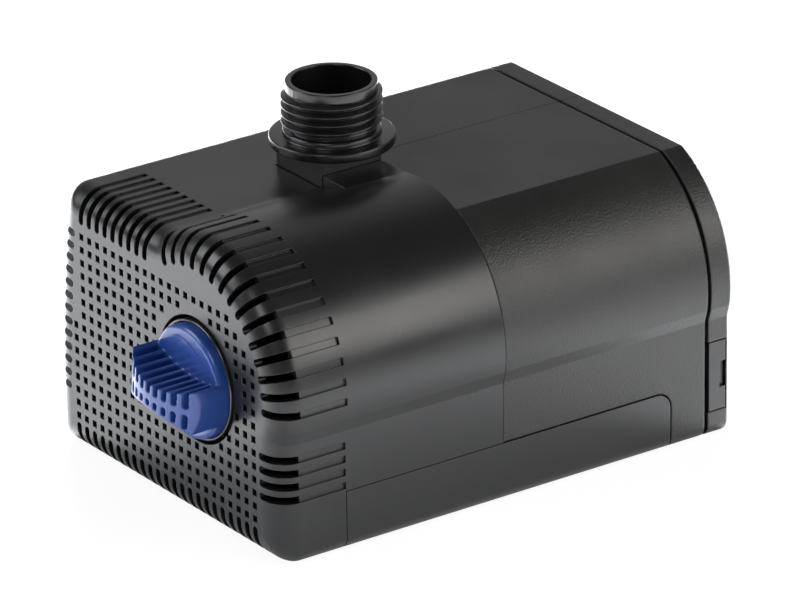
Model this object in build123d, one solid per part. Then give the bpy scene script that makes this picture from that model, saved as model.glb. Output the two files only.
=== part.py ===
from build123d import *
import os
from math import cos, sin, radians

# A submersible pond pump.  Millimetres; X across the pump, +Y from the grille face to the rear,
# +Z up.  The origin is the bottom centre of the whole pump's box.

# ---- driving dimensions -------------------------------------------------------------------
PITCH = 2.9                        # spacing of the grille's square holes, and of its slots
WALL = 2.0                         # moulded wall
GAP = 0.3                          # play round a part that slides or turns

FACE_Y = -50.55                    # front grille face
SEAM_Y = FACE_Y + 55.25            # filter casing meets motor casing
COVER_SEAM_Y = FACE_Y + 106.65     # motor casing meets rear cover
REAR_Y = FACE_Y + 112.95           # outer face of the rear cover
PANEL_FRONT_Y = FACE_Y + 16.4      # base panel's front and rear edges
PANEL_REAR_Y = FACE_Y + 98.0
PANEL_TOP_Z = 13.05
PANEL_PLAY = 0.2                   # gap round the panel, taken half from it

SIDE_X = 39.95                     # right-hand side below the ledge
LEDGE_LOW_Z = 26.25                # sloped ledge along the right-hand side
LEDGE_HIGH_Z = 28.9
LEFT_X = -41.0                     # left-hand side, at its widest
LEFT_WIDEST_Z = 14.2
LEFT_BOW_RADIUS = 223.0            # the left-hand side leans in along this arc
FLAT_TOP_Z = 58.7
REAR_TOP_Z = 59.0
ARCH_RADIUS = 29.3                 # the arched upper right-hand quarter and its centre
ARCH_X = 11.7
ARCH_Z = 32.6
AXIS_X = ARCH_X                    # pump axis: knob, impeller and rotor share it
AXIS_Z = 31.8
BOTTOM_ROUND = 2.6
TOP_LEFT_ROUND = 3.4
VALLEY_ROUND = 7.0                 # hollow blend between the front half's flat top and arch
FRONT_ROUND = 5.7

HOLE = 1.45                        # square holes of the grille
HOLE_X0 = -29.3                    # first full column and row of holes
HOLE_Z0 = 49.0
HOLE_ROWS = 15
HOLE_CLEAR_RADIUS = 14.4           # plain collar round the knob
FAN_CLEAR_RADIUS = 21.4            # plain band inside the fan of slots
SLOT = 1.6                         # width of the slots that wrap over the front edges
SLOT_THROUGH = 5.4                 # they are open for this depth behind the face
SLOT_LENGTH = 16.4                 # and run on as shallow grooves to here
GROOVE_DEPTH = 0.55
FAN_SLOTS = 15
FAN_FIRST_DEG = 0.7
FAN_STEP_DEG = 8.26
FAN_INNER_RADIUS = 23.7

COLLAR_RADIUS = 13.5               # opening for the knob
KNOB_RADIUS = 12.0
KNOB_FRONT_Y = FACE_Y - 11.85      # crown of the grip
KNOB_FACE_Y = FACE_Y - 2.5
KNOB_BACK_Y = FACE_Y + 5.7
GRIP_CROWN_RADIUS = 18.4
GRIP_TILT_DEG = -6.3               # the bar droops to the right at rest
GRIP_SLOTS = 9
GRIP_STEP = 2.34

OUTLET_X = -9.5                    # outlet axis
OUTLET_Y = FACE_Y + 48.7
BLOCK_HALF = 8.15
BLOCK_FRONT_Y = FACE_Y + 40.45
PLATEAU_RIGHT_X = 7.9
PLATEAU_Z = 61.5
FLANGE_LOW_Z = 64.7
FLANGE_HIGH_Z = 66.65
FLANGE_RADIUS = 13.0
NECK_RADIUS = 9.1
THREAD_RADIUS = 10.47
THREAD_LOW_Z = 69.0
THREAD_HIGH_Z = 75.95
LIP_RADIUS = 9.5
RIM_Z = 78.15
OUTLET_BORE = 8.2

HOUSING_REAR_Y = 4.55              # pump housing, volute and its cover
VOLUTE_FRONT_Y = -7.65
VOLUTE_FLOOR_Y = 2.55
VOLUTE_START = 14.5
VOLUTE_GROWTH = 12.1
DUCT_RADIUS = 4.6
EYE_RADIUS = 7.8
SLEEVE_RADIUS = 9.3                # inlet sleeve, and the shutter that turns round it
SHUTTER_RADIUS = 11.0
SHUTTER_END_Y = -14.4
INTAKE_FRONT_Y = -38.0             # side windows through both
INTAKE_REAR_Y = -16.0
INTAKE_HALF = 5.5
IMPELLER_RADIUS = 11.6
HUB_RADIUS = 5.0

CAN_RADIUS = 11.2                  # rotor can, magnet and shaft
CAN_WALL = 1.0
CAN_REAR_Y = 46.65
MAGNET_RADIUS = 9.5
SHAFT_RADIUS = 1.5
BEARING_RADIUS = 2.7
SHAFT_PLAY = 0.04
BLADE_FRONT_Y = -6.65
MAGNET_FRONT_Y = 6.65
MAGNET_REAR_Y = 39.65
BUSH_LENGTH = 4.35

CORE_FRONT_Y = 18.15               # stator stack and coils
CORE_REAR_Y = 43.15
COIL_WALL = 6.2

GLAND_X = -21.0                    # cable inlet in the rear cover
GLAND_Z = 22.0
GLAND_FLOOR_Y = 58.8
GLAND_INNER_Y = 54.0
CORD_RADIUS = 3.3                  # bore for a two-core flat or round cord

SCREW_RADIUS = 1.2                 # screws, the posts they bite in and the holes they pass
POST_RADIUS = 3.0
HEAD_RADIUS = 2.8
HEAD_SEAT_RADIUS = 2.9
PASS_RADIUS = 1.7
BOSS_RADIUS = 3.4
CASING_POST_END_Y = 11.2           # bulkhead's posts, and the screws' bite in them
HOUSING_SCREW_END_Y = 10.2
COVER_POST_START_Y = 43.6
COVER_SCREW_END_Y = 46.0
COVER_SCREWS = [(-33.5, 52.0), (33.4, 44.4), (33.2, 7.2), (-34.0, 7.2)]
DUCT_SCREW = (-19.8, 42.0)         # the volute's screw beside the duct
SCREW_CLEARANCE = 3.6              # the others stand this far outside the spiral

FAR = 200.0                        # longer than anything in the pump


# ---- shared shapes ------------------------------------------------------------------------
def slab(sketch, y_low, y_high):
    """A front-view sketch (X, Z) extruded between two depths."""
    return extrude(Plane.XZ.offset(-y_high) * sketch, amount=y_high - y_low)


def tube_y(radius, y_low, y_high, x=AXIS_X, z=AXIS_Z):
    """A round bar along Y."""
    return slab(Pos(x, z) * Circle(radius), y_low, y_high)


def ring_y(outer, inner, y_low, y_high, x=AXIS_X, z=AXIS_Z):
    """A round tube along Y."""
    return slab(Pos(x, z) * (Circle(outer) - Circle(inner)), y_low, y_high)


def bar(low, high):
    """A box between two corners."""
    size = [b - a for a, b in zip(low, high)]
    middle = [(a + b) / 2 for a, b in zip(low, high)]
    return Pos(*middle) * Box(*size)


def outline(inset, top_z=FLAT_TOP_Z):
    """The pump's front-view outline, moved inwards by inset."""
    bow = LEFT_BOW_RADIUS - inset
    bow_x = LEFT_X + LEFT_BOW_RADIUS
    top = top_z - inset
    left_at = lambda z: bow_x - (bow**2 - (z - LEFT_WIDEST_Z) ** 2) ** 0.5
    side = SIDE_X - inset
    arch = ARCH_RADIUS - inset
    arch_x = ARCH_X + (arch**2 - (ARCH_Z - LEDGE_HIGH_Z) ** 2) ** 0.5
    body = make_face([
        Line((side, LEDGE_LOW_Z), (side, inset)),
        Line((side, inset), (left_at(inset), inset)),
        ThreePointArc((left_at(inset), inset), (left_at(top / 2), top / 2), (left_at(top), top)),
        Line((left_at(top), top), (ARCH_X, top)),
        Line((ARCH_X, top), (ARCH_X, LEDGE_HIGH_Z)),
        Line((ARCH_X, LEDGE_HIGH_Z), (arch_x, LEDGE_HIGH_Z)),
        Line((arch_x, LEDGE_HIGH_Z), (side, LEDGE_LOW_Z)),
    ])
    corners = {(side, inset): BOTTOM_ROUND, (left_at(inset), inset): BOTTOM_ROUND,
               (left_at(top), top): TOP_LEFT_ROUND}
    for (x, z), radius in corners.items():
        corner = body.vertices().sort_by_distance((x, z, 0))[0]
        body = fillet(corner, max(radius - inset, 0.5))
    crown = Pos(ARCH_X, ARCH_Z) * Circle(arch)
    crown &= Pos(ARCH_X, LEDGE_HIGH_Z + FAR / 2) * Rectangle(FAR, FAR)
    return body + crown


def front_outline(inset):
    """The outline with its arch blended into the flat top."""
    face = outline(inset)
    top = FLAT_TOP_Z - inset
    valley_x = ARCH_X - ((ARCH_RADIUS - inset) ** 2 - (top - ARCH_Z) ** 2) ** 0.5
    valley = face.vertices().sort_by_distance((valley_x, top, 0))[0]
    return fillet(valley, VALLEY_ROUND + inset)


def rear_outline(inset):
    """The outline cut off level with the rear half's flat top."""
    below = Pos(0, REAR_TOP_Z - inset - FAR / 2) * Rectangle(FAR, FAR)
    return outline(inset, REAR_TOP_Z) & below


def rounded_slab(section, y_low, y_high, radius):
    """A slab whose front rim (its low-Y end) is rounded."""
    solid = slab(section, y_low, y_high)
    return fillet(solid.faces().sort_by(Axis.Y)[0].edges(), radius)


def panel_zone(grow):
    """The low zone that the base panel covers, seen from the side, with its rounded rear corner."""
    low, high = PANEL_FRONT_Y - grow, PANEL_REAR_Y + grow
    side = Pos((low + high) / 2, 0) * Rectangle(high - low, 2 * (PANEL_TOP_Z + grow))
    corner = side.vertices().sort_by_distance((high, PANEL_TOP_Z + grow, 0))[0]
    side = fillet(corner, 3.6 + grow)
    return extrude(Plane.YZ * side, amount=FAR / 2, both=True)


# ---- filter casing: the front shell with the grille ----------------------------------------
def grille_holes():
    """Square holes on the grid, left out near the knob and inside the fan of slots."""
    holes = []
    for row in range(HOLE_ROWS):
        first = -1 if row >= 7 else 0
        last = min(21, 18 + row)
        for column in range(first, last + 1):
            x, z = HOLE_X0 + PITCH * column, HOLE_Z0 - PITCH * row
            reach = ((x - ARCH_X) ** 2 + (z - ARCH_Z) ** 2) ** 0.5
            in_fan = x > ARCH_X - FAN_CLEAR_RADIUS / 2 and z > ARCH_Z and reach > FAN_CLEAR_RADIUS
            if reach > HOLE_CLEAR_RADIUS and not in_fan:
                holes.append(Pos(x, FACE_Y, z) * Box(HOLE, 4 * WALL, HOLE))
    return holes


def slot_blades():
    """Thin blades that cut the slots, each from its start outwards, as (through, groove) pairs."""
    places = []
    for column in range(9):                                        # over the top edge
        places.append((HOLE_X0 + PITCH * column, 52.5, 90))
    for number in range(FAN_SLOTS):                                # fan over the arch
        angle = FAN_FIRST_DEG + FAN_STEP_DEG * number
        x = ARCH_X + FAN_INNER_RADIUS * cos(radians(angle))
        z = ARCH_Z + FAN_INNER_RADIUS * sin(radians(angle))
        places.append((x, z, angle))
    for row in range(4):                                           # lower right side
        places.append((34.2, 23.0 - PITCH * row, 0))
    for row in range(13):                                          # left side
        start = -32.5 - 2.9 * (row / 12) ** 0.8
        places.append((start, HOLE_Z0 - PITCH * row, 180))
    for column in range(-1, 22):                                   # under the bottom edge
        places.append((HOLE_X0 + PITCH * column, 5.95, 270))
    blades = []
    for x, z, angle in places:
        reach = 30.0
        middle = reach / 2 - SLOT / 2
        blade = Pos(middle, 0) * SlotOverall(reach, SLOT)
        place = Pos(x, z) * Rot(0, 0, angle)
        through = slab(place * blade, FACE_Y - 1, FACE_Y + SLOT_THROUGH)
        groove = slab(place * blade, FACE_Y + SLOT_THROUGH - 0.1, FACE_Y + SLOT_LENGTH)
        blades.append((through, groove))
    return blades


def outlet_opening(play):
    """Room for the outlet block, open to the seam."""
    return bar((OUTLET_X - BLOCK_HALF - play, BLOCK_FRONT_Y - play, AXIS_Z + 10),
               (OUTLET_X + BLOCK_HALF + play, SEAM_Y + 1, FAR))


def filter_casing():
    outer = rounded_slab(front_outline(0), FACE_Y, SEAM_Y, FRONT_ROUND)
    plateau = bar((OUTLET_X, BLOCK_FRONT_Y, AXIS_Z), (PLATEAU_RIGHT_X + 4, SEAM_Y, PLATEAU_Z))
    outer += plateau
    hollow = rounded_slab(front_outline(WALL), FACE_Y + WALL, SEAM_Y + 1, FRONT_ROUND - WALL)
    shell = outer - hollow
    collar_end = FACE_Y + 6.0
    shell += ring_y(COLLAR_RADIUS + 1.6, COLLAR_RADIUS, FACE_Y + 1, collar_end)
    shell -= tube_y(COLLAR_RADIUS, FACE_Y - 1, collar_end + 1)
    shell -= grille_holes()
    blades = slot_blades()
    shell -= [through for through, groove in blades]
    skin = slab(front_outline(GROOVE_DEPTH), FACE_Y, SEAM_Y)
    shell -= [groove - skin for through, groove in blades]
    shell -= outlet_opening(GAP)
    low = bar((-FAR, PANEL_FRONT_Y, -FAR), (FAR, SEAM_Y + 1, PANEL_TOP_Z))
    return (shell - low).solid()


# ---- base panel: the sole with its two upturned sides ---------------------------------------
def base_panel():
    tray = slab(outline(0) - outline(WALL), PANEL_FRONT_Y, PANEL_REAR_Y)
    return (tray & panel_zone(-PANEL_PLAY)).solid()


# ---- motor casing: the rear shell with its bulkhead ------------------------------------------
BULKHEAD_Y = 5.9
BULKHEAD_REAR_Y = 7.9
PANEL_SEAT = 2.4                   # the casing's skin steps in by this behind the base panel


def screw_places():
    """Four screws round the volute, as (x, z)."""
    places = [DUCT_SCREW]
    for clockwise in (135, 225, 300):
        reach = volute_radius(clockwise) + SCREW_CLEARANCE
        angle = radians(180 - clockwise)
        places.append((AXIS_X + reach * cos(angle), AXIS_Z + reach * sin(angle)))
    return places


def volute_radius(clockwise):
    """The spiral's radius, which grows clockwise from the tongue on the left."""
    return VOLUTE_START + VOLUTE_GROWTH * (clockwise / 360) ** 1.5


def motor_space():
    """The inside of the motor casing, behind the bulkhead."""
    space = slab(rear_outline(WALL), BULKHEAD_REAR_Y, COVER_SEAM_Y)
    seat = slab(rear_outline(0) - outline(PANEL_SEAT + WALL), BULKHEAD_REAR_Y - 1, COVER_SEAM_Y)
    return space - (seat & panel_zone(WALL))


def motor_casing():
    shell = slab(rear_outline(0), SEAM_Y + 0.15, COVER_SEAM_Y) - motor_space()
    rim = slab(rear_outline(WALL), SEAM_Y - 1, BULKHEAD_Y)
    seat = slab(rear_outline(0) - outline(PANEL_SEAT), SEAM_Y - 1, COVER_SEAM_Y + 1)
    rim_seat = slab(rear_outline(0) - outline(PANEL_SEAT + WALL), SEAM_Y - 1, BULKHEAD_Y)
    shell -= rim - (rim_seat & panel_zone(WALL))
    shell -= seat & panel_zone(PANEL_PLAY)
    shell -= tube_y(CAN_RADIUS + 0.05, 0, BULKHEAD_REAR_Y + 1)
    for x, z in screw_places():
        shell += tube_y(POST_RADIUS, BULKHEAD_REAR_Y - 0.5, CASING_POST_END_Y, x, z)
        shell -= tube_y(SCREW_RADIUS + 0.05, 0, 10.6, x, z)
    for x, z in COVER_SCREWS:
        shell += tube_y(POST_RADIUS, COVER_POST_START_Y, BOSS_END_Y, x, z)
        shell -= tube_y(SCREW_RADIUS + 0.05, 45.0, COVER_SEAM_Y, x, z)
    return shell.solid()


# ---- rear cover, its gasket, screws and latches ------------------------------------------------
BOSS_END_Y = 52.9                  # where the cover's screw posts meet the casing's
COVER_BEVEL = 0.6                  # bevel round the cover's rear face
REVEAL = 1.0                       # gap all round between the casing and the cover
LATCH_LOW_Z, LATCH_HIGH_Z = 5.85, 21.1
LATCH_FRONT_Y, LATCH_REAR_Y = 57.3, 61.5


def gland_recess():
    return tube_y(9.6, GLAND_FLOOR_Y, REAR_Y + 1, GLAND_X, GLAND_Z)


def latch_window(side, play):
    """Room in the cover's side wall for one latch."""
    inner = SIDE_X - WALL - 2.2
    low_x, high_x = sorted((side * inner, side * (SIDE_X + 2)))
    return bar((low_x, LATCH_FRONT_Y - play, LATCH_LOW_Z - play),
               (high_x, LATCH_REAR_Y + play, LATCH_HIGH_Z + play))


def rear_cover():
    front = COVER_SEAM_Y + REVEAL
    bevel_y = REAR_Y - COVER_BEVEL
    outer = slab(rear_outline(0), front, bevel_y)
    outer += extrude(Plane.XZ.offset(-bevel_y) * rear_outline(0), amount=-COVER_BEVEL, taper=40)
    cover = outer - slab(rear_outline(WALL), front - 1, REAR_Y - WALL)
    cover += tube_y(11.6, GLAND_FLOOR_Y - 2.4, REAR_Y - 0.1, GLAND_X, GLAND_Z)
    cover -= gland_recess()
    cover -= tube_y(5.2, 50, REAR_Y, GLAND_X, GLAND_Z)
    cover += slab(rear_outline(WALL + 0.4) - rear_outline(WALL + 1.9), BOSS_END_Y + 0.3, front + 1)
    for x, z in COVER_SCREWS:
        post = (Pos(x, z) * Circle(POST_RADIUS)) & rear_outline(WALL + 0.4)
        cover += slab(post, BOSS_END_Y + 0.2, REAR_Y - 0.5)
        cover -= tube_y(PASS_RADIUS, 50, REAR_Y + 1, x, z)
        cover -= tube_y(HEAD_SEAT_RADIUS, REAR_Y - 1.8, REAR_Y + 1, x, z)
    for side in (-1, 1):
        cover -= latch_window(side, GAP)
    return cover.solid()


def rear_gasket():
    section = rear_outline(1.1) - rear_outline(WALL - 0.2)
    return slab(section, COVER_SEAM_Y, COVER_SEAM_Y + REVEAL).solid()


def latch(side):
    """A snap tab that is pressed inwards, with a finger notch in its rear edge."""
    wall = slab(rear_outline(0) - rear_outline(WALL - 0.2), LATCH_FRONT_Y, LATCH_REAR_Y)
    low_x, high_x = sorted((0, side * FAR))
    tab = wall & bar((low_x, 0, LATCH_LOW_Z), (high_x, FAR, LATCH_HIGH_Z))
    stem = sorted((side * (SIDE_X - 0.5), side * (SIDE_X - 5.5)))
    tab += bar((stem[0], 58.0, 11.8), (stem[1], 59.6, 15.2))
    notch_x = sorted((side * (SIDE_X - 0.8), side * FAR))
    notch = bar((notch_x[0], 60.0, 10.7), (notch_x[1], FAR, 16.5))
    return (tab - notch).solid()


# ---- pump housing with the outlet block, and the volute cover -----------------------------------
def volute_section(grow):
    """The spiral chamber, opening into the straight duct on its left."""
    steps = (0, 45, 90, 135, 180, 225, 270, 315, 360)
    points = []
    for clockwise in steps:
        reach = volute_radius(clockwise) + grow
        angle = radians(180 - clockwise)
        points.append((AXIS_X + reach * cos(angle), AXIS_Z + reach * sin(angle)))
    arcs = [ThreePointArc(*points[n:n + 3]) for n in (0, 2, 4, 6)]
    spiral = make_face(arcs + [Line(points[-1], points[0])])
    left, right = OUTLET_X - 5.4 - grow, OUTLET_X + 5.4 + grow
    duct_top = AXIS_Z + 18.0
    duct = Pos((left + right) / 2, (AXIS_Z + duct_top) / 2) * Rectangle(right - left, duct_top - AXIS_Z)
    return spiral + Pos(AXIS_X, AXIS_Z) * Circle(VOLUTE_START + grow) + duct


def housing_section():
    """The housing's outline, with its four screw bosses."""
    section = volute_section(WALL)
    for x, z in screw_places():
        section += Pos(x, z) * Circle(BOSS_RADIUS)
    return section


def pump_housing():
    block_low = AXIS_Z + 17.0
    housing = slab(housing_section(), VOLUTE_FRONT_Y, HOUSING_REAR_Y)
    housing += bar((OUTLET_X - BLOCK_HALF, BLOCK_FRONT_Y, block_low),
                   (OUTLET_X + BLOCK_HALF, HOUSING_REAR_Y, FLANGE_LOW_Z))
    housing -= slab(volute_section(0), VOLUTE_FRONT_Y, VOLUTE_FLOOR_Y)
    housing -= Pos(OUTLET_X, OUTLET_Y, 55) * Cylinder(DUCT_RADIUS, 30)
    spigot_low = FLANGE_LOW_Z - 6.2
    housing -= Pos(OUTLET_X, OUTLET_Y, spigot_low + 5) * Cylinder(5.9, 10)
    housing -= tube_y(CAN_RADIUS - CAN_WALL, 0, HOUSING_REAR_Y + 1)
    housing -= ring_y(13.9, 12.1, HOUSING_REAR_Y - 0.7, HOUSING_REAR_Y)
    for x, z in screw_places():
        housing -= tube_y(PASS_RADIUS, -20, 10, x, z)
    return housing.solid()


def volute_cover():
    """Front plate of the volute with the inlet sleeve and the bearing spider in its eye."""
    front = VOLUTE_FRONT_Y - 2.4
    below_block = Pos(0, AXIS_Z + 16.8 - FAR / 2) * Rectangle(FAR, FAR)
    section = housing_section() & below_block
    cover = slab(section, front, VOLUTE_FRONT_Y)
    sleeve_end = KNOB_BACK_Y + 0.8
    cover += tube_y(SLEEVE_RADIUS, sleeve_end, front)
    cover -= tube_y(EYE_RADIUS, sleeve_end - 1, VOLUTE_FRONT_Y + 1)
    cover -= bar((-FAR, INTAKE_FRONT_Y, AXIS_Z - INTAKE_HALF), (FAR, INTAKE_REAR_Y, AXIS_Z + INTAKE_HALF))
    spider = tube_y(4.0, front, VOLUTE_FRONT_Y)
    for turn in range(3):
        arm = Rot(0, 0, 90 + 120 * turn) * (Pos(5.6, 0) * Rectangle(6.4, 1.6))
        spider += slab(Pos(AXIS_X, AXIS_Z) * arm, front, VOLUTE_FRONT_Y)
    cover += spider
    cover -= tube_y(2.8, front - 1, VOLUTE_FRONT_Y + 1)
    for x, z in screw_places():
        cover -= tube_y(PASS_RADIUS, front - 1, 0, x, z)
    return cover.solid()


def housing_screws():
    """Pan-head screws through the volute cover into the bulkhead's bosses."""
    head_y = VOLUTE_FRONT_Y - 2.4
    screws = []
    for x, z in screw_places():
        screw = tube_y(HEAD_RADIUS, head_y - 2.0, head_y, x, z)
        screw += tube_y(SCREW_RADIUS, head_y - 0.5, HOUSING_SCREW_END_Y, x, z)
        screw -= bar((x - 2.0, head_y - 3, z - 0.3), (x + 2.0, head_y - 1.2, z + 0.3))
        screw -= bar((x - 0.3, head_y - 3, z - 2.0), (x + 0.3, head_y - 1.2, z + 2.0))
        screws.append(screw.solid())
    return Compound(screws)


def cover_screws():
    """Countersunk in the rear cover, with cross recesses."""
    screws = []
    for x, z in COVER_SCREWS:
        screw = tube_y(HEAD_RADIUS - 0.1, REAR_Y - 1.8, REAR_Y - 0.3, x, z)
        screw += tube_y(SCREW_RADIUS, COVER_SCREW_END_Y, REAR_Y - 1, x, z)
        screw -= bar((x - 1.9, REAR_Y - 1.2, z - 0.3), (x + 1.9, REAR_Y, z + 0.3))
        screw -= bar((x - 0.3, REAR_Y - 1.2, z - 1.9), (x + 0.3, REAR_Y, z + 1.9))
        screws.append(screw.solid())
    return Compound(screws)


# ---- outlet nozzle ----------------------------------------------------------------------------
def turned(points):
    """A solid of revolution about the outlet axis, from (radius, height) points."""
    face = make_face(Plane.XZ * Polyline(*points, close=True))
    return (Pos(OUTLET_X, OUTLET_Y, 0) * revolve(face, Axis.Z)).solid()


def outlet_nozzle():
    """Threaded nozzle with its flange and the spigot that plugs into the block."""
    spigot_low = FLANGE_LOW_Z - 6.0
    return turned([
        (DUCT_RADIUS, spigot_low), (5.8, spigot_low), (5.8, spigot_low + 1.4),
        (5.2, spigot_low + 1.4), (5.2, spigot_low + 2.4), (5.8, spigot_low + 2.4),
        (5.8, FLANGE_LOW_Z), (FLANGE_RADIUS, FLANGE_LOW_Z), (FLANGE_RADIUS, FLANGE_HIGH_Z),
        (10.1, FLANGE_HIGH_Z), (10.1, FLANGE_HIGH_Z + 1.0), (NECK_RADIUS, FLANGE_HIGH_Z + 1.5),
        (NECK_RADIUS, THREAD_LOW_Z), (THREAD_RADIUS, THREAD_LOW_Z), (THREAD_RADIUS, THREAD_HIGH_Z),
        (LIP_RADIUS, THREAD_HIGH_Z), (LIP_RADIUS, RIM_Z - 0.3), (LIP_RADIUS - 0.3, RIM_Z),
        (OUTLET_BORE, RIM_Z), (OUTLET_BORE, FLANGE_HIGH_Z - 0.6), (DUCT_RADIUS, FLANGE_LOW_Z - 1.0),
    ])


def outlet_seal():
    low = FLANGE_LOW_Z - 4.55
    return turned([(5.2, low), (5.88, low), (5.88, low + 0.9), (5.2, low + 0.9)])


def volute_seal():
    return ring_y(13.8, 12.2, HOUSING_REAR_Y - 0.7, HOUSING_REAR_Y).solid()


# ---- flow regulator ----------------------------------------------------------------------------
def grip_bar():
    """The bar across the knob: waisted, with a crowned outer face, before it is tilted."""
    reach = KNOB_RADIUS + 1
    section = make_face([
        ThreePointArc((-reach, 5.3), (0, 2.4), (reach, 5.3)),
        Line((reach, 5.3), (reach, -6.4)),
        ThreePointArc((reach, -6.4), (0, -3.1), (-reach, -6.4)),
        Line((-reach, -6.4), (-reach, 5.3)),
    ])
    section &= Circle(KNOB_RADIUS)
    crown = Pos(0, KNOB_FRONT_Y + GRIP_CROWN_RADIUS, 0) * Cylinder(GRIP_CROWN_RADIUS, 40)
    return slab(section, KNOB_FRONT_Y - 1, KNOB_FACE_Y + 2) & crown


def regulator_knob():
    """Disc with a comb-cut grip bar across it."""
    disc = slab(Circle(KNOB_RADIUS), KNOB_FACE_Y, KNOB_BACK_Y)
    disc = fillet(disc.faces().sort_by(Axis.Y)[0].edges(), 1.1)
    knob = disc + grip_bar()
    for number in range(GRIP_SLOTS):
        x = GRIP_STEP * (number - (GRIP_SLOTS - 1) / 2)
        slot = Pos(x, 0.35 + 8) * RectangleRounded(1.35, 16, 0.6)
        knob -= slab(slot, KNOB_FRONT_Y - 1, KNOB_FACE_Y)
        crown_y = KNOB_FRONT_Y + GRIP_CROWN_RADIUS - (GRIP_CROWN_RADIUS**2 - x**2) ** 0.5
        low = -2.45 - 0.02 * x**2
        pocket = Pos(x, (low - 1.05) / 2) * RectangleRounded(1.2, -1.05 - low, 0.55)
        knob -= slab(pocket, KNOB_FRONT_Y - 1, crown_y + 2.4)
    turned_knob = Rot(0, -GRIP_TILT_DEG, 0) * knob
    return (Pos(AXIS_X, 0, AXIS_Z) * turned_knob).solid()


def knob_seal():
    return ring_y(12.7, KNOB_RADIUS, FACE_Y - 0.4, FACE_Y + 1.6).solid()


def flow_shutter():
    """Sleeve behind the knob; its windows slide over the inlet sleeve's."""
    shutter = ring_y(SHUTTER_RADIUS, SLEEVE_RADIUS + GAP, KNOB_BACK_Y, SHUTTER_END_Y)
    half = INTAKE_HALF - 0.5
    windows = bar((-FAR, INTAKE_FRONT_Y, AXIS_Z - half), (FAR, INTAKE_REAR_Y - 0.5, AXIS_Z + half))
    return (shutter - windows).solid()


# ---- rotor ---------------------------------------------------------------------------------------
def impeller():
    hub = ring_y(HUB_RADIUS, BEARING_RADIUS + 0.05, BLADE_FRONT_Y, MAGNET_FRONT_Y)
    blades = ring_y(IMPELLER_RADIUS, HUB_RADIUS - 0.1, 0.75, 1.95)
    for turn in range(6):
        blade = Rot(0, 0, 60 * turn) * (Pos(8.0, 0) * Rectangle(7.2, 1.2))
        blades += slab(Pos(AXIS_X, AXIS_Z) * blade, BLADE_FRONT_Y, 0.85)
    return (hub + blades).solid()


def rotor_magnet():
    return ring_y(MAGNET_RADIUS, BEARING_RADIUS, MAGNET_FRONT_Y, MAGNET_REAR_Y).solid()


def bearing(y_low, y_high):
    """Bush inside the rotor that runs on the fixed shaft."""
    return ring_y(BEARING_RADIUS, SHAFT_RADIUS + SHAFT_PLAY, y_low, y_high).solid()


def rotor_can():
    """Thin closed tube that keeps the water away from the coils."""
    can = tube_y(CAN_RADIUS, HOUSING_REAR_Y, CAN_REAR_Y) + tube_y(15.0, HOUSING_REAR_Y, BULKHEAD_Y - 0.05)
    can -= tube_y(CAN_RADIUS - CAN_WALL, HOUSING_REAR_Y - 1, CAN_REAR_Y - CAN_WALL)
    return can.solid()


def grommet(radius, y_low, y_high):
    return ring_y(radius, SHAFT_RADIUS, y_low, y_high).solid()


# ---- stator ---------------------------------------------------------------------------------------
LEG_LOW, LEG_HIGH = (17.0, 25.0), (40.2, 48.2)
YOKE_X, POLE_X = -35.5, 26.0
WINDOW_X = (-28.0, -3.0)


def stator_core():
    """Stack of U-shaped plates whose two poles reach round the rotor can."""
    middle_x, middle_z = (YOKE_X + POLE_X) / 2, (LEG_LOW[0] + LEG_HIGH[1]) / 2
    plate = Pos(middle_x, middle_z) * Rectangle(POLE_X - YOKE_X, LEG_HIGH[1] - LEG_LOW[0])
    left, right = WINDOW_X
    plate -= Pos((left + right) / 2, middle_z) * Rectangle(right - left, LEG_HIGH[0] - LEG_LOW[1])
    plate -= Pos(AXIS_X, AXIS_Z) * Circle(CAN_RADIUS + 0.1)
    plate -= Pos(AXIS_X + 12, AXIS_Z) * Rectangle(12, 2.4)
    plate -= Pos(AXIS_X - 12, AXIS_Z) * Rectangle(12, 2.4)
    return slab(plate, CORE_FRONT_Y, CORE_REAR_Y)


def around_leg(leg, grow, x_low, x_high):
    """A block round one leg of the core that stands out from it by grow."""
    return bar((x_low, CORE_FRONT_Y - grow, leg[0] - grow), (x_high, CORE_REAR_Y + grow, leg[1] + grow))


def coil(leg, grow_in, grow_out, x_low, x_high):
    """A winding, or a bobbin's tube, round one leg of the core."""
    return around_leg(leg, grow_out, x_low, x_high) - around_leg(leg, grow_in, x_low - 1, x_high + 1)


def bobbin(leg):
    """Plastic former with a flange at each end."""
    left, right = WINDOW_X
    former = coil(leg, 0, 1.0, left, right)
    for low in (left, right - 1.2):
        former += coil(leg, 0, COIL_WALL + 0.6, low, low + 1.2)
    return former.solid()


def winding(leg):
    return coil(leg, 1.0, COIL_WALL, WINDOW_X[0] + 1.2, WINDOW_X[1] - 1.2).solid()


def thermal_cutout():
    return fillet(bar((-26, 50.2, 28), (-12, 52.6, 36)).edges().filter_by(Axis.X), 1.0).solid()


def potting_block(inside):
    """Cast resin that fills the motor casing round everything inside it."""
    resin = motor_space() & bar((-FAR, BULKHEAD_REAR_Y, 0), (FAR, 52.8, FAR))
    for piece in inside:
        resin -= piece
    resin -= tube_y(CAN_RADIUS, 0, CAN_REAR_Y)
    for x, z in screw_places():
        resin -= tube_y(POST_RADIUS, 0, CASING_POST_END_Y, x, z)
    for x, z in COVER_SCREWS:
        resin -= tube_y(POST_RADIUS, COVER_POST_START_Y, BOSS_END_Y, x, z)
    return resin.solids().sort_by(SortBy.VOLUME)[-1]


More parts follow.
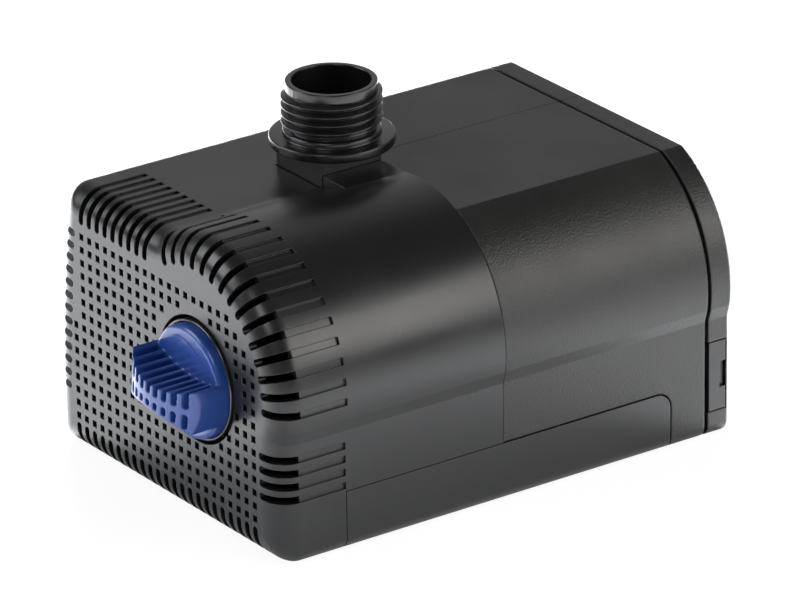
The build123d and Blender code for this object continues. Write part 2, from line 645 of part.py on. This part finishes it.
# ---- cable inlet ------------------------------------------------------------------------------------
def cable_gland():
    """Flanged bush through the floor of the recess in the rear cover."""
    bush = ring_y(5.0, CORD_RADIUS, GLAND_INNER_Y, GLAND_FLOOR_Y, GLAND_X, GLAND_Z)
    bush += ring_y(7.4, CORD_RADIUS, GLAND_INNER_Y + 0.6, GLAND_FLOOR_Y - 2.4, GLAND_X, GLAND_Z)
    return bush.solid()


def gland_nut():
    hexagon = Pos(GLAND_X, GLAND_Z) * RegularPolygon(8.2, 6)
    nut = slab(hexagon, GLAND_FLOOR_Y, REAR_Y - 0.4)
    nut -= tube_y(CORD_RADIUS, 50, REAR_Y, GLAND_X, GLAND_Z)
    nut -= tube_y(4.8, 50, GLAND_FLOOR_Y + 1.2, GLAND_X, GLAND_Z)
    return nut.solid()


def gland_seal():
    return ring_y(4.75, CORD_RADIUS, GLAND_FLOOR_Y, GLAND_FLOOR_Y + 1.2, GLAND_X, GLAND_Z).solid()


# ---- every piece in its own file ---------------------------------------------------------------------
stator = stator_core()
bobbins = {"bobbin_lower": bobbin(LEG_LOW), "bobbin_upper": bobbin(LEG_HIGH)}
windings = {"winding_lower": winding(LEG_LOW), "winding_upper": winding(LEG_HIGH)}
casing = motor_casing()
can = rotor_can()
cutout = thermal_cutout()
pieces = {
    "filter_casing": filter_casing(),
    "base_panel": base_panel(),
    "motor_casing": casing,
    "rear_cover": rear_cover(),
    "rear_gasket": rear_gasket(),
    "latch_right": latch(1),
    "latch_left": latch(-1),
    "cover_screws": cover_screws(),
    "pump_housing": pump_housing(),
    "volute_cover": volute_cover(),
    "volute_seal": volute_seal(),
    "housing_screws": housing_screws(),
    "outlet_nozzle": outlet_nozzle(),
    "outlet_seal": outlet_seal(),
    "regulator_knob": regulator_knob(),
    "knob_seal": knob_seal(),
    "flow_shutter": flow_shutter(),
    "impeller": impeller(),
    "rotor_magnet": rotor_magnet(),
    "front_bearing": bearing(MAGNET_FRONT_Y, MAGNET_FRONT_Y + BUSH_LENGTH),
    "rear_bearing": bearing(MAGNET_REAR_Y - BUSH_LENGTH, MAGNET_REAR_Y),
    "rotor_shaft": tube_y(SHAFT_RADIUS, -9.6, 45.2).solid(),
    "front_grommet": grommet(2.78, VOLUTE_FRONT_Y - 2.3, VOLUTE_FRONT_Y),
    "rear_grommet": grommet(4.0, 42.0, CAN_REAR_Y - CAN_WALL),
    "rotor_can": can,
    "stator_core": stator,
    **bobbins,
    **windings,
    "thermal_cutout": cutout,
    "potting_block": potting_block([casing, can, stator, cutout, *bobbins.values(), *windings.values()]),
    "cable_gland": cable_gland(),
    "gland_nut": gland_nut(),
    "gland_seal": gland_seal(),
}
os.makedirs("parts", exist_ok=True)
for name, piece in pieces.items():
    export_step(piece, f"parts/{name}.step")
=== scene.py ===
import math
import bpy
import numpy as np
from mathutils import Matrix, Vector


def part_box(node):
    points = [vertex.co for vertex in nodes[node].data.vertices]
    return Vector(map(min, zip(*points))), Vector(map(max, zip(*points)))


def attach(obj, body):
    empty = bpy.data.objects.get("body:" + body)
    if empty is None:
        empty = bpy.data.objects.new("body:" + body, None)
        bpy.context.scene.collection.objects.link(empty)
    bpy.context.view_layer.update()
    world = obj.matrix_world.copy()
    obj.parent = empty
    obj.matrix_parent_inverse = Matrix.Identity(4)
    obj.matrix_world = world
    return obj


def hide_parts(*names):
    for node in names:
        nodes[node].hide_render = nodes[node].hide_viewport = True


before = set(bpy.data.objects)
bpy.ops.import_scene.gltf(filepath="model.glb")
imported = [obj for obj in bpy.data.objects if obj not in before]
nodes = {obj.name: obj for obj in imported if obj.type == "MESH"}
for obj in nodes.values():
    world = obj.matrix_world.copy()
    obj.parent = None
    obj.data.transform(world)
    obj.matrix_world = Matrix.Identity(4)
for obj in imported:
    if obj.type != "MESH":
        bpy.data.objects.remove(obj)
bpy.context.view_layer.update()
MM = 0.001

# ---- Studio -------------------------------------------------------------------------------
# The pump stands on a white paper sweep in a white room. Two soft panels in front light the
# grille, one at the right rear draws the highlight along the arch, and two only whiten the paper.
bpy.context.scene.view_settings.view_transform = "Standard"

LOOK_AT = np.array([12.32, -0.85, 36.47]) * MM
CAMERA_DISTANCE = 1.524
CAMERA_AZIMUTH, CAMERA_ELEVATION, CAMERA_ROLL = (math.radians(a) for a in (54.73, 23.21, -0.728))
CAMERA_LENS_MM, CAMERA_SENSOR_MM = 337.26, 36.0


def direction(azimuth, elevation):
    """Unit vector from the pump towards a place: azimuth 0 is in front, 90 degrees on the right."""
    flat = math.cos(elevation)
    return np.array([flat * math.sin(azimuth), -flat * math.cos(azimuth), math.sin(elevation)])


def stand(thing, place, target, roll=0.0):
    """Puts a camera or light at a place with its -Z towards the target, its X level, then rolled."""
    ahead = (target - place) / np.linalg.norm(target - place)
    level = np.cross(ahead, [0.0, 0.0, 1.0])
    level /= np.linalg.norm(level)
    right = math.cos(roll) * level + math.sin(roll) * np.cross(level, ahead)
    matrix = np.eye(4)
    matrix[:3, :3] = np.column_stack([right, np.cross(right, ahead), -ahead])
    matrix[:3, 3] = place
    thing.matrix_world = Matrix(matrix.tolist())
    bpy.context.scene.collection.objects.link(thing)


camera = bpy.data.objects.new("studio_camera", bpy.data.cameras.new("studio_camera"))
camera.data.lens = CAMERA_LENS_MM
camera.data.sensor_width = CAMERA_SENSOR_MM
camera.data.clip_start, camera.data.clip_end = 0.05, 20.0
camera_place = LOOK_AT + CAMERA_DISTANCE * direction(CAMERA_AZIMUTH, CAMERA_ELEVATION)
stand(camera, camera_place, LOOK_AT, CAMERA_ROLL)
bpy.context.scene.camera = camera

COOL, WARM = (0.95, 0.97, 1.0), (1.0, 0.98, 0.95)
PANELS = {
    # name: (place mm, aimed at mm, width m, height m, watts, colour, lights the floor only)
    "key_panel": ((-420, -560, 440), (0, -40, 30), 0.45, 0.45, 3.3, COOL, False),
    "front_panel": ((300, -480, 560), (0, -40, 30), 0.26, 0.26, 1.2, COOL, False),
    "right_panel": ((495, 340, 290), (35, 0, 40), 0.50, 0.30, 2.3, WARM, False),
    "left_wash": ((-360, 270, 330), (-150, -160, 0), 0.30, 0.30, 17.0, COOL, True),
    "right_wash": ((150, -20, 240), (65, -20, 0), 0.16, 0.20, 0.50, COOL, True),
}
sweep_only = bpy.data.collections.new("sweep_only")
for name, (place, target, width, height, watts, colour, floor_only) in PANELS.items():
    light = bpy.data.lights.new(name, "AREA")
    light.shape, light.size, light.size_y, light.energy = "RECTANGLE", width, height, watts
    light.color = colour
    lamp = bpy.data.objects.new(name, light)
    stand(lamp, np.array(place) * MM, np.array(target) * MM)
    if floor_only:
        lamp.light_linking.receiver_collection = sweep_only


def wire(tree, kind, inputs=None, **settings):
    """Adds a shader node; an input given another node's socket is linked, a number is set."""
    made = tree.nodes.new("ShaderNode" + kind)
    for key, value in settings.items():
        setattr(made, key, value)
    for key, value in (inputs or {}).items():
        if isinstance(value, bpy.types.NodeSocket):
            tree.links.new(value, made.inputs[key])
        else:
            made.inputs[key].default_value = value
    return made


# The room's white walls fill the shadows, and a glow from the left rear lies along that side.
ROOM_FILL, GLOW_RADIANCE = 0.15, 0.38
GLOW_AZIMUTH, GLOW_ELEVATION = math.radians(-125.0), math.radians(23.0)
GLOW_CORE, GLOW_EDGE = math.radians(14.0), math.radians(42.0)
room = bpy.data.worlds.new("white_room")
bpy.context.scene.world = room
room.use_nodes = True
tree = room.node_tree
way = wire(tree, "TexCoord").outputs["Generated"]
towards = direction(GLOW_AZIMUTH, GLOW_ELEVATION)
facing = wire(tree, "VectorMath", {0: way, 1: towards}, operation="DOT_PRODUCT").outputs["Value"]
glow = wire(tree, "MapRange", {"Value": facing, "From Min": math.cos(GLOW_EDGE),
                               "From Max": math.cos(GLOW_CORE), "To Max": GLOW_RADIANCE},
            interpolation_type="SMOOTHSTEP").outputs["Result"]
walls = wire(tree, "Math", {0: glow, 1: ROOM_FILL}, operation="ADD").outputs[0]
seen = wire(tree, "LightPath").outputs["Is Camera Ray"]
strength = wire(tree, "MapRange", {"Value": seen, "To Min": walls, "To Max": 1.0}).outputs["Result"]
tree.links.new(strength, tree.nodes["Background"].inputs["Strength"])
tree.nodes["Background"].inputs["Color"].default_value = (1.0, 1.0, 1.0, 1.0)


def link_mesh(name, vertices, faces, sharp_deg=40.0):
    """Object from arrays of vertices in metres and faces, smooth except across sharp bends."""
    mesh = bpy.data.meshes.new(name)
    mesh.from_pydata(vertices, [], faces)
    mesh.polygons.foreach_set("use_smooth", np.ones(len(mesh.polygons), bool))
    mesh.set_sharp_from_angle(angle=math.radians(sharp_deg))
    mesh.update()
    thing = bpy.data.objects.new(name, mesh)
    bpy.context.scene.collection.objects.link(thing)
    return thing


FLOOR_REACH = 3.0
corners = [(-FLOOR_REACH, -FLOOR_REACH, 0), (FLOOR_REACH, -FLOOR_REACH, 0),
           (FLOOR_REACH, FLOOR_REACH, 0), (-FLOOR_REACH, FLOOR_REACH, 0)]
floor = link_mesh("studio_floor", corners, [(0, 1, 2, 3)])
sweep_only.objects.link(floor)


def blank(name, **shader_values):
    """A new material with its Principled shader's constants set; returns it, its tree and shader."""
    material = bpy.data.materials.new(name)
    material.use_nodes = True
    tree = material.node_tree
    shader = tree.nodes["Principled BSDF"]
    for key, value in shader_values.items():
        shader.inputs[key.replace("_", " ")].default_value = value
    return material, tree, shader


def shades(tree, driver, low, high, start=0.3, stop=0.7):
    """Colour that runs from low to high as a grey driver goes from start to stop."""
    ramp = wire(tree, "ValToRGB", {"Fac": driver})
    ramp.color_ramp.elements[0].position, ramp.color_ramp.elements[0].color = start, (*low, 1.0)
    ramp.color_ramp.elements[1].position, ramp.color_ramp.elements[1].color = stop, (*high, 1.0)
    return ramp.outputs["Color"]


SEEN_WHITE = 0.93                      # share of plain white in the paper as the camera sees it
paper, tree, shader = blank("white_sweep", Roughness=0.9)
place = wire(tree, "TexCoord").outputs["Object"]
mottle = wire(tree, "TexNoise", {"Vector": place, "Scale": 3.0}).outputs["Fac"]
tree.links.new(shades(tree, mottle, (0.9, 0.9, 0.9), (0.93, 0.93, 0.93)), shader.inputs["Base Color"])
bleached = wire(tree, "Emission", {"Color": (1.0, 1.0, 1.0, 1.0), "Strength": 1.0}).outputs["Emission"]
seen = wire(tree, "LightPath").outputs["Is Camera Ray"]
share = wire(tree, "Math", {0: seen, 1: SEEN_WHITE}, operation="MULTIPLY").outputs[0]
seen_paper = wire(tree, "MixShader", {0: share, 1: shader.outputs["BSDF"], 2: bleached})
tree.links.new(seen_paper.outputs[0], tree.nodes["Material Output"].inputs["Surface"])
floor.data.materials.append(paper)


# ---- Motor insides --------------------------------------------------------------------------
# Everything sealed in the motor casing: plate stack, bobbins and windings, the thin can with
# the magnet rotor on its ceramic shaft, and the resin cast round them.
def finish(node, material):
    """Gives a piece of the frame its material on every slot."""
    for slot in nodes[node].material_slots:
        slot.material = material


def moulded(name, low, high, rough, grain_mm, grain_height, edge_mm=0.25, edge_lift=1.6, **constants):
    """Moulded plastic or rubber: a broad noise clouds the shade and roughness, a fine one is the grain, and
    at edges, where the rounded normal turns away from the flat one, the shade is lighter: a painted
    highlight, partly also wear."""
    material, tree, shader = blank(name, **constants)
    place = wire(tree, "TexCoord").outputs["Object"]
    cloud = wire(tree, "TexNoise", {"Vector": place, "Scale": 55.0, "Detail": 4.0}).outputs["Fac"]
    grain_scale = 1.0 / (grain_mm * MM)
    fine = wire(tree, "TexNoise", {"Vector": place, "Scale": grain_scale, "Detail": 2.0}).outputs["Fac"]
    speck = wire(tree, "Math", {0: cloud, 1: fine}, operation="ADD").outputs[0]
    shade = shades(tree, wire(tree, "Math", {0: speck, 1: 0.5}, operation="MULTIPLY").outputs[0], low, high)
    soft = wire(tree, "Bevel", {"Radius": edge_mm * MM}, samples=4).outputs["Normal"]
    flat = wire(tree, "NewGeometry").outputs["Normal"]
    match = wire(tree, "VectorMath", {0: soft, 1: flat}, operation="DOT_PRODUCT").outputs["Value"]
    edge = wire(tree, "MapRange", {"Value": match, "From Min": 0.995, "From Max": 0.85}).outputs["Result"]
    # Lighter shade along edges: partly a painted highlight, partly wear.
    edge_highlight_and_wear = [min(1.0, edge_lift * channel) for channel in high]
    mix = wire(tree, "MixRGB", {"Fac": edge, "Color1": shade, "Color2": (*edge_highlight_and_wear, 1.0)})
    tree.links.new(mix.outputs["Color"], shader.inputs["Base Color"])
    rough_map = wire(tree, "MapRange", {"Value": cloud, "From Min": 0.3, "From Max": 0.7,
                                        "To Min": rough[0], "To Max": rough[1]}).outputs["Result"]
    tree.links.new(rough_map, shader.inputs["Roughness"])
    bump = wire(tree, "Bump", {"Height": fine, "Normal": soft, "Strength": 1.0,
                               "Distance": grain_height * MM})
    tree.links.new(bump.outputs["Normal"], shader.inputs["Normal"])
    return material


def banded(name, low, high, rough, axis_scale, metallic, ior=1.5):
    """Fine bands, as on stacked plates, drawn wire or ground rods: noise squeezed along an axis."""
    material, tree, shader = blank(name, Metallic=metallic, Roughness=rough, IOR=ior)
    place = wire(tree, "TexCoord").outputs["Object"]
    stretched = wire(tree, "Mapping", {"Vector": place, "Scale": axis_scale}).outputs["Vector"]
    bands = wire(tree, "TexNoise", {"Vector": stretched, "Scale": 1.0, "Detail": 1.0}).outputs["Fac"]
    tree.links.new(shades(tree, bands, low, high), shader.inputs["Base Color"])
    bump = wire(tree, "Bump", {"Height": bands, "Strength": 0.6, "Distance": 0.05 * MM})
    tree.links.new(bump.outputs["Normal"], shader.inputs["Normal"])
    return material


core_plates = banded("core_plates", (0.16, 0.16, 0.17), (0.34, 0.34, 0.35), 0.38, (200, 4000, 200), 0.9)
enamel_wire = banded("enamel_wire", (0.33, 0.10, 0.03), (0.62, 0.25, 0.09), 0.28, (4000, 300, 300), 0.85)
ground_ceramic = banded("ground_ceramic", (0.72, 0.70, 0.64), (0.86, 0.85, 0.80), 0.25,
                        (1500, 300, 1500), 0.0, 1.6)
ferrite = banded("ferrite_magnet", (0.035, 0.035, 0.04), (0.075, 0.075, 0.08), 0.42,
                 (900, 2500, 900), 0.0, 1.8)
nylon = moulded("natural_nylon", (0.62, 0.61, 0.57), (0.74, 0.73, 0.69), (0.35, 0.5),
                0.5, 0.01, edge_lift=1.1)
resin = moulded("cast_resin", (0.02, 0.018, 0.016), (0.035, 0.03, 0.027), (0.12, 0.3), 3.0, 0.05)
rubber = moulded("black_rubber", (0.012, 0.012, 0.012), (0.02, 0.02, 0.02), (0.55, 0.75),
                 0.4, 0.02, edge_lift=1.3)
for node, material in {
    "stator_core": core_plates, "winding_lower": enamel_wire, "winding_upper": enamel_wire,
    "bobbin_lower": nylon, "bobbin_upper": nylon, "thermal_cutout": nylon, "potting_block": resin,
    "rotor_shaft": ground_ceramic, "front_bearing": ground_ceramic, "rear_bearing": ground_ceramic,
    "rotor_magnet": ferrite, "impeller": nylon, "front_grommet": rubber, "rear_grommet": rubber,
    "volute_seal": rubber, "outlet_seal": rubber, "rear_gasket": rubber, "gland_seal": rubber,
}.items():
    finish(node, material)


# ---- Motor casing and rear cover --------------------------------------------------------------
# Injection-moulded in filled plastic with a fine eroded grain, matt and slightly warm. The cover
# closes the back with four screws and has a snap tab low on each side.
grained = moulded("grained_casing", (0.0065, 0.0065, 0.0061), (0.012, 0.012, 0.0112), (0.38, 0.46),
                  0.45, 0.085, edge_mm=0.6, edge_lift=2.4, IOR=1.5)
for node in ("motor_casing", "rear_cover"):
    finish(node, grained)

# A faint knit line runs back along the flat top, where two flows of plastic met in the mould.
KNIT_X, KNIT_HALF_WIDTH, TOP_FROM_Z = -10.4 * MM, 0.22 * MM, 58.5 * MM
KNIT_COLOUR = (0.003, 0.003, 0.003)


def add_knit_line(material):
    """Darkens and dulls a plastic where x is within the half width of KNIT_X and z is over
    TOP_FROM_Z: one number is 1 on that strip and 0 off it, and mixes both colour and gloss."""
    tree = material.node_tree
    shader = tree.nodes["Principled BSDF"]
    plain = shader.inputs["Base Color"].links[0].from_socket
    place = wire(tree, "SeparateXYZ", {0: wire(tree, "TexCoord").outputs["Object"]}).outputs
    offset = wire(tree, "Math", {0: place["X"], 1: -KNIT_X}, operation="ADD").outputs[0]
    distance = wire(tree, "Math", {0: offset}, operation="ABSOLUTE").outputs[0]
    near = wire(tree, "Math", {0: distance, 1: KNIT_HALF_WIDTH}, operation="LESS_THAN").outputs[0]
    high_up = wire(tree, "Math", {0: place["Z"], 1: TOP_FROM_Z}, operation="GREATER_THAN").outputs[0]
    on_line = wire(tree, "Math", {0: near, 1: high_up}, operation="MULTIPLY").outputs[0]
    knit = wire(tree, "MixRGB", {"Fac": on_line, "Color1": plain, "Color2": (*KNIT_COLOUR, 1.0)})
    tree.links.new(knit.outputs["Color"], shader.inputs["Base Color"])
    duller = wire(tree, "MapRange", {"Value": on_line, "To Min": 0.5, "To Max": 0.25}).outputs["Result"]
    tree.links.new(duller, shader.inputs["Specular IOR Level"])


add_knit_line(grained)

# The tabs, the cord gland and the rotor can are in the smoother satin plastic.
satin = moulded("satin_casing", (0.0048, 0.005, 0.0053), (0.0068, 0.007, 0.0075), (0.27, 0.34),
                0.6, 0.006, IOR=1.5)
for node in ("latch_right", "latch_left", "cable_gland", "gland_nut", "rotor_can"):
    finish(node, satin)
steel = banded("stainless_screws", (0.42, 0.42, 0.43), (0.62, 0.62, 0.63), 0.3, (1800, 300, 1800), 1.0)
for node in ("cover_screws", "housing_screws"):
    finish(node, steel)


# ---- Pump housing ------------------------------------------------------------------------------
# The volute with its square outlet block on top, and the volute cover with the inlet sleeve.
# Both are smooth black mouldings, held to the motor casing by four screws.
smooth_black = moulded("smooth_black", (0.005, 0.005, 0.0055), (0.007, 0.007, 0.0076), (0.30, 0.36),
                       0.8, 0.008, IOR=1.5)
for node in ("pump_housing", "volute_cover"):
    finish(node, smooth_black)


# ---- Filter casing and base panel --------------------------------------------------------------
# The casing is one thin satin moulding with the square-holed grille and the slots round its rim.
# It slides back over the pump. The base panel, with its turned-up sides, stays under the pump.
for node in ("filter_casing", "base_panel"):
    finish(node, satin)


# ---- Outlet nozzle -----------------------------------------------------------------------------
# One polished moulding: a plain lip, four turns of half-inch pipe thread, a neck with a rounded
# foot ring and a thick flange that sits on the block. A mould line runs down its front and back.
nozzle_low, nozzle_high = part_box("outlet_nozzle")
OUTLET_X, OUTLET_Y = (nozzle_low.x + nozzle_high.x) / 2, (nozzle_low.y + nozzle_high.y) / 2
RIM, SPIGOT_END = nozzle_high.z, nozzle_low.z
FLANGE_RADIUS = (nozzle_high.x - nozzle_low.x) / 2
FLANGE_LOW, FLANGE_TOP = SPIGOT_END + 6.0 * MM, SPIGOT_END + 7.95 * MM
SPIGOT_RADIUS, FOOT_RING_RADIUS, NECK_RADIUS = 5.75 * MM, 10.15 * MM, 9.15 * MM
THREAD_TURN, THREAD_DEPTH = 1.814 * MM, 1.25 * MM
THREAD_START = 0.20 * MM               # sets where round the nozzle each crest stands
THREAD_TOP, THREAD_FOOT = RIM - 2.2 * MM, RIM - 9.6 * MM
THREAD_ROWS = 188
# The crests die away over the first height at each end, which ends the second height past it.
TOP_FADE, TOP_FADE_PAST = 0.4 * MM, 0.3 * MM
FOOT_FADE, FOOT_FADE_PAST = 0.7 * MM, 0.1 * MM
FOOT_RING_TOP, NECK_LOW, NECK_TOP = FLANGE_TOP + 1.25 * MM, FLANGE_TOP + 1.55 * MM, THREAD_FOOT - 0.3 * MM
FLANK_SHARE = 0.88                     # of each half turn; what is left is the flat crest
ROOT_RADIUS = 10.45 * MM - THREAD_DEPTH
LIP_LOW = THREAD_TOP + 0.25 * MM
LIP_RADIUS, BORE_RADIUS, DUCT_RADIUS = 9.5 * MM, 8.2 * MM, 4.6 * MM
BORE_END, DUCT_START = FLANGE_LOW - 0.6 * MM, FLANGE_LOW - 1.4 * MM
OUTER_ROUND, LIP_ROUND = 0.35 * MM, 0.22 * MM
MOULD_LINE_HEIGHT, MOULD_LINE_WIDTH = 0.09 * MM, 0.22 * MM
SPIGOT_ROWS, BORE_ROWS = 8, 17         # rows at the profile's two ends, which have no mould line
NOZZLE_COLUMNS = 288


def rounded_path(points, radius, steps=5):
    """Polyline with each inner corner rounded: start and stop lie at one reach on either side of the
    corner, and the blend is their quadratic curve, start and stop weighted by the squares of 1 - t
    and t and the corner by twice their product."""
    points = np.asarray(points, float)
    path = [points[:1]]
    t = np.linspace(0.0, 1.0, steps)[:, None]
    for before, corner, after in zip(points, points[1:], points[2:]):
        reach = min(radius, 0.45 * np.linalg.norm(before - corner), 0.45 * np.linalg.norm(after - corner))
        start = corner + (before - corner) / np.linalg.norm(before - corner) * reach
        stop = corner + (after - corner) / np.linalg.norm(after - corner) * reach
        path.append((1 - t) ** 2 * start + 2 * t * (1 - t) * corner + t**2 * stop)
    path.append(points[-1:])
    return np.vstack(path)


def lathe_faces(rows, columns, closed):
    """Quads between neighbouring rows of points, closed round the columns. A closed profile's last
    row is also joined to its first."""
    here = np.arange(rows if closed else rows - 1)[:, None]
    above = (here + 1) % rows
    column = np.arange(columns)
    after = np.roll(column, -1)
    corners = [here * columns + column, here * columns + after, above * columns + after,
               above * columns + column]
    return np.stack(corners, -1).reshape(-1, 4)


def nozzle():
    """Closed profile turned about the outlet axis. In the thread the radius rises from the root by
    the depth times a flat-topped triangle wave of (height / turn - angle / circle), faded at both
    ends. Outside the thread a bell curve of the arc length raises the two mould lines."""
    below = rounded_path([
        (DUCT_RADIUS, SPIGOT_END), (SPIGOT_RADIUS, SPIGOT_END), (SPIGOT_RADIUS, FLANGE_LOW),
        (FLANGE_RADIUS, FLANGE_LOW), (FLANGE_RADIUS, FLANGE_TOP), (FOOT_RING_RADIUS, FLANGE_TOP),
        (FOOT_RING_RADIUS, FOOT_RING_TOP), (NECK_RADIUS, NECK_LOW), (NECK_RADIUS, NECK_TOP),
        (ROOT_RADIUS, THREAD_FOOT)], OUTER_ROUND)
    heights = np.linspace(THREAD_FOOT, THREAD_TOP, THREAD_ROWS + 2)[1:-1]
    thread = np.column_stack([np.full(THREAD_ROWS, ROOT_RADIUS), heights])
    above = rounded_path([
        (ROOT_RADIUS, THREAD_TOP), (LIP_RADIUS, LIP_LOW), (LIP_RADIUS, RIM),
        (BORE_RADIUS, RIM), (BORE_RADIUS, BORE_END), (DUCT_RADIUS, DUCT_START),
        (DUCT_RADIUS, SPIGOT_END)], LIP_ROUND)[:-1]
    profile = np.vstack([below, thread, above])
    angle = np.linspace(0.0, 2 * np.pi, NOZZLE_COLUMNS, endpoint=False)
    height = profile[:, 1:] + np.zeros(NOZZLE_COLUMNS)
    phase = ((height - THREAD_START) / THREAD_TURN - angle / (2 * np.pi)) % 1.0
    wave = np.clip((1.0 - np.abs(2.0 * phase - 1.0)) / FLANK_SHARE, 0.0, 1.0)
    fade_out = np.clip((THREAD_TOP + TOP_FADE_PAST - height) / TOP_FADE, 0.0, 1.0)
    fade_in = np.clip((height - THREAD_FOOT + FOOT_FADE_PAST) / FOOT_FADE, 0.0, 1.0)
    in_thread = np.zeros((len(profile), 1))
    in_thread[len(below):len(below) + THREAD_ROWS] = 1.0
    radius = profile[:, :1] + THREAD_DEPTH * wave * fade_in * fade_out * in_thread
    outside = np.zeros((len(profile), 1))
    outside[SPIGOT_ROWS:len(profile) - BORE_ROWS] = 1.0
    back = np.exp(-(((angle - 0.5 * np.pi) * radius / MOULD_LINE_WIDTH) ** 2))
    front = np.exp(-(((angle - 1.5 * np.pi) * radius / MOULD_LINE_WIDTH) ** 2))
    radius = radius + MOULD_LINE_HEIGHT * (back + front) * outside * (1.0 - in_thread)
    surface = np.stack([OUTLET_X + radius * np.cos(angle), OUTLET_Y + radius * np.sin(angle), height], -1)
    faces = lathe_faces(len(profile), NOZZLE_COLUMNS, closed=True)
    return link_mesh("outlet_nozzle_threaded", surface.reshape(-1, 3), faces, sharp_deg=50.0)


polished = moulded("polished_black", (0.004, 0.004, 0.0044), (0.006, 0.006, 0.0065), (0.20, 0.26),
                   0.8, 0.006, IOR=1.55)
threaded = nozzle()
threaded.data.materials.append(polished)
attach(threaded, "pump_body")
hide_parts("outlet_nozzle")


# ---- Flow regulator ------------------------------------------------------------------------------
# A blue semi-gloss moulding: a disc with a comb-cut grip bar, on a sleeve that opens and closes
# the inlet. A soft glossy black lip seals it in the casing's round opening.
blue = moulded("regulator_blue", (0.017, 0.050, 0.22), (0.020, 0.060, 0.265), (0.19, 0.25),
               1.2, 0.006, edge_mm=0.2, edge_lift=1.25, IOR=1.5)


def softened(node, name, voxel, passes):
    """A closed copy of a node remeshed on a fine grid and smoothed, which rounds its moulded edges."""
    copy = bpy.data.objects.new(name, nodes[node].data.copy())
    bpy.context.scene.collection.objects.link(copy)
    weld = copy.modifiers.new("weld", "WELD")
    weld.merge_threshold = 0.001 * MM
    remesh = copy.modifiers.new("remesh", "REMESH")
    remesh.mode, remesh.voxel_size, remesh.use_smooth_shade = "VOXEL", voxel, True
    smooth = copy.modifiers.new("smooth", "SMOOTH")
    smooth.factor, smooth.iterations = 0.5, passes
    graph = bpy.context.evaluated_depsgraph_get()
    mesh = bpy.data.meshes.new_from_object(copy.evaluated_get(graph))
    copy.modifiers.clear()
    copy.data = mesh
    copy.data.materials.clear()
    return copy


knob_low, knob_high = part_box("regulator_knob")
knob = softened("regulator_knob", "regulator_knob_soft", voxel=0.17 * MM, passes=3)
knob.data.materials.append(blue)
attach(knob, "regulator")
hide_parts("regulator_knob")
finish("flow_shutter", smooth_black)

# A raised curved line stands on the disc's face, like a pointer.
KNOB_X, KNOB_Z = (knob_low.x + knob_high.x) / 2, (knob_low.z + knob_high.z) / 2
DISC_THICKNESS = 8.2 * MM
DISC_FACE_Y = knob_high.y - DISC_THICKNESS
POINTER_HALF_WIDTH, POINTER_HALF_HEIGHT, POINTER_TILT = 7.4 * MM, 6.3 * MM, 1.0 * MM
POINTER_LEFT, POINTER_UP = 0.4 * MM, 3.1 * MM
POINTER_FROM, POINTER_TO = -0.62, 0.78
POINTER_BEAD_RADIUS = 0.16 * MM
POINTER_POINTS = 40


def pointer_path():
    """An arc of an ellipse about a place a little above the knob's axis: its half width goes with the
    sine of t and its half height with the cosine, and each point is lowered by t times the tilt."""
    t = np.linspace(POINTER_FROM, POINTER_TO, POINTER_POINTS)
    x = KNOB_X + POINTER_HALF_WIDTH * np.sin(t) - POINTER_LEFT
    z = KNOB_Z + POINTER_HALF_HEIGHT * np.cos(t) + POINTER_UP - POINTER_TILT * t
    return np.column_stack([x, np.full(POINTER_POINTS, DISC_FACE_Y), z])


def bead(name, path, radius, sides=8):
    """A thin tube with closed ends along a path in a plane of constant Y: each ring of points is the
    cosine and sine of an angle along the path's two normals, and the radius falls off at both ends
    as a low power of the sine of the way along."""
    ahead = np.gradient(path, axis=0)
    ahead /= np.linalg.norm(ahead, axis=1)[:, None]
    across = np.column_stack([ahead[:, 2], np.zeros(len(path)), -ahead[:, 0]])
    rearward = np.array([0.0, 1.0, 0.0])
    turn = np.linspace(0, 2 * np.pi, sides, endpoint=False)[:, None]
    taper = radius * np.sin(np.linspace(0.02, np.pi - 0.02, len(path))) ** 0.3
    rings = np.cos(turn) * across[:, None] + np.sin(turn) * rearward
    rings = path[:, None] + taper[:, None, None] * rings
    first_end, last_end = np.arange(sides)[::-1], np.arange(sides) + (len(path) - 1) * sides
    faces = [*lathe_faces(len(path), sides, closed=False).tolist(), first_end.tolist(), last_end.tolist()]
    return link_mesh(name, rings.reshape(-1, 3), faces)


pointer = bead("regulator_pointer", pointer_path(), POINTER_BEAD_RADIUS)
pointer.data.materials.append(blue)
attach(pointer, "regulator")

seal_low, seal_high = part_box("knob_seal")
SEAL_WALL = 0.66 * MM
SEAL_LIP_POINTS, SEAL_COLUMNS = 13, 160


def lip_seal():
    """A closed section turned about the knob's axis: a half circle as wide as the wall makes the lip
    in front, and two straight sides run back from it."""
    centre_x, centre_z = (seal_low.x + seal_high.x) / 2, (seal_low.z + seal_high.z) / 2
    outer = (seal_high.x - seal_low.x) / 2
    inner = outer - SEAL_WALL
    t = np.linspace(0.0, np.pi, SEAL_LIP_POINTS)
    middle, half = (outer + inner) / 2, SEAL_WALL / 2
    lip = np.column_stack([middle - half * np.cos(t), seal_low.y + half * (1.0 - np.sin(t))])
    section = np.vstack([[inner, seal_high.y], lip, [outer, seal_high.y]])
    angle = np.linspace(0.0, 2 * np.pi, SEAL_COLUMNS, endpoint=False)
    x = centre_x + section[:, :1] * np.sin(angle)
    z = centre_z + section[:, :1] * np.cos(angle)
    y = section[:, 1:] + np.zeros(SEAL_COLUMNS)
    faces = lathe_faces(len(section), SEAL_COLUMNS, closed=True)
    return link_mesh("knob_lip_seal", np.stack([x, y, z], -1).reshape(-1, 3), faces)


gloss_rubber = moulded("gloss_rubber", (0.012, 0.011, 0.010), (0.02, 0.018, 0.016), (0.12, 0.2),
                       1.0, 0.004, edge_mm=0.1, IOR=1.6)
seal = lip_seal()
seal.data.materials.append(gloss_rubber)
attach(seal, "regulator")
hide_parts("knob_seal")
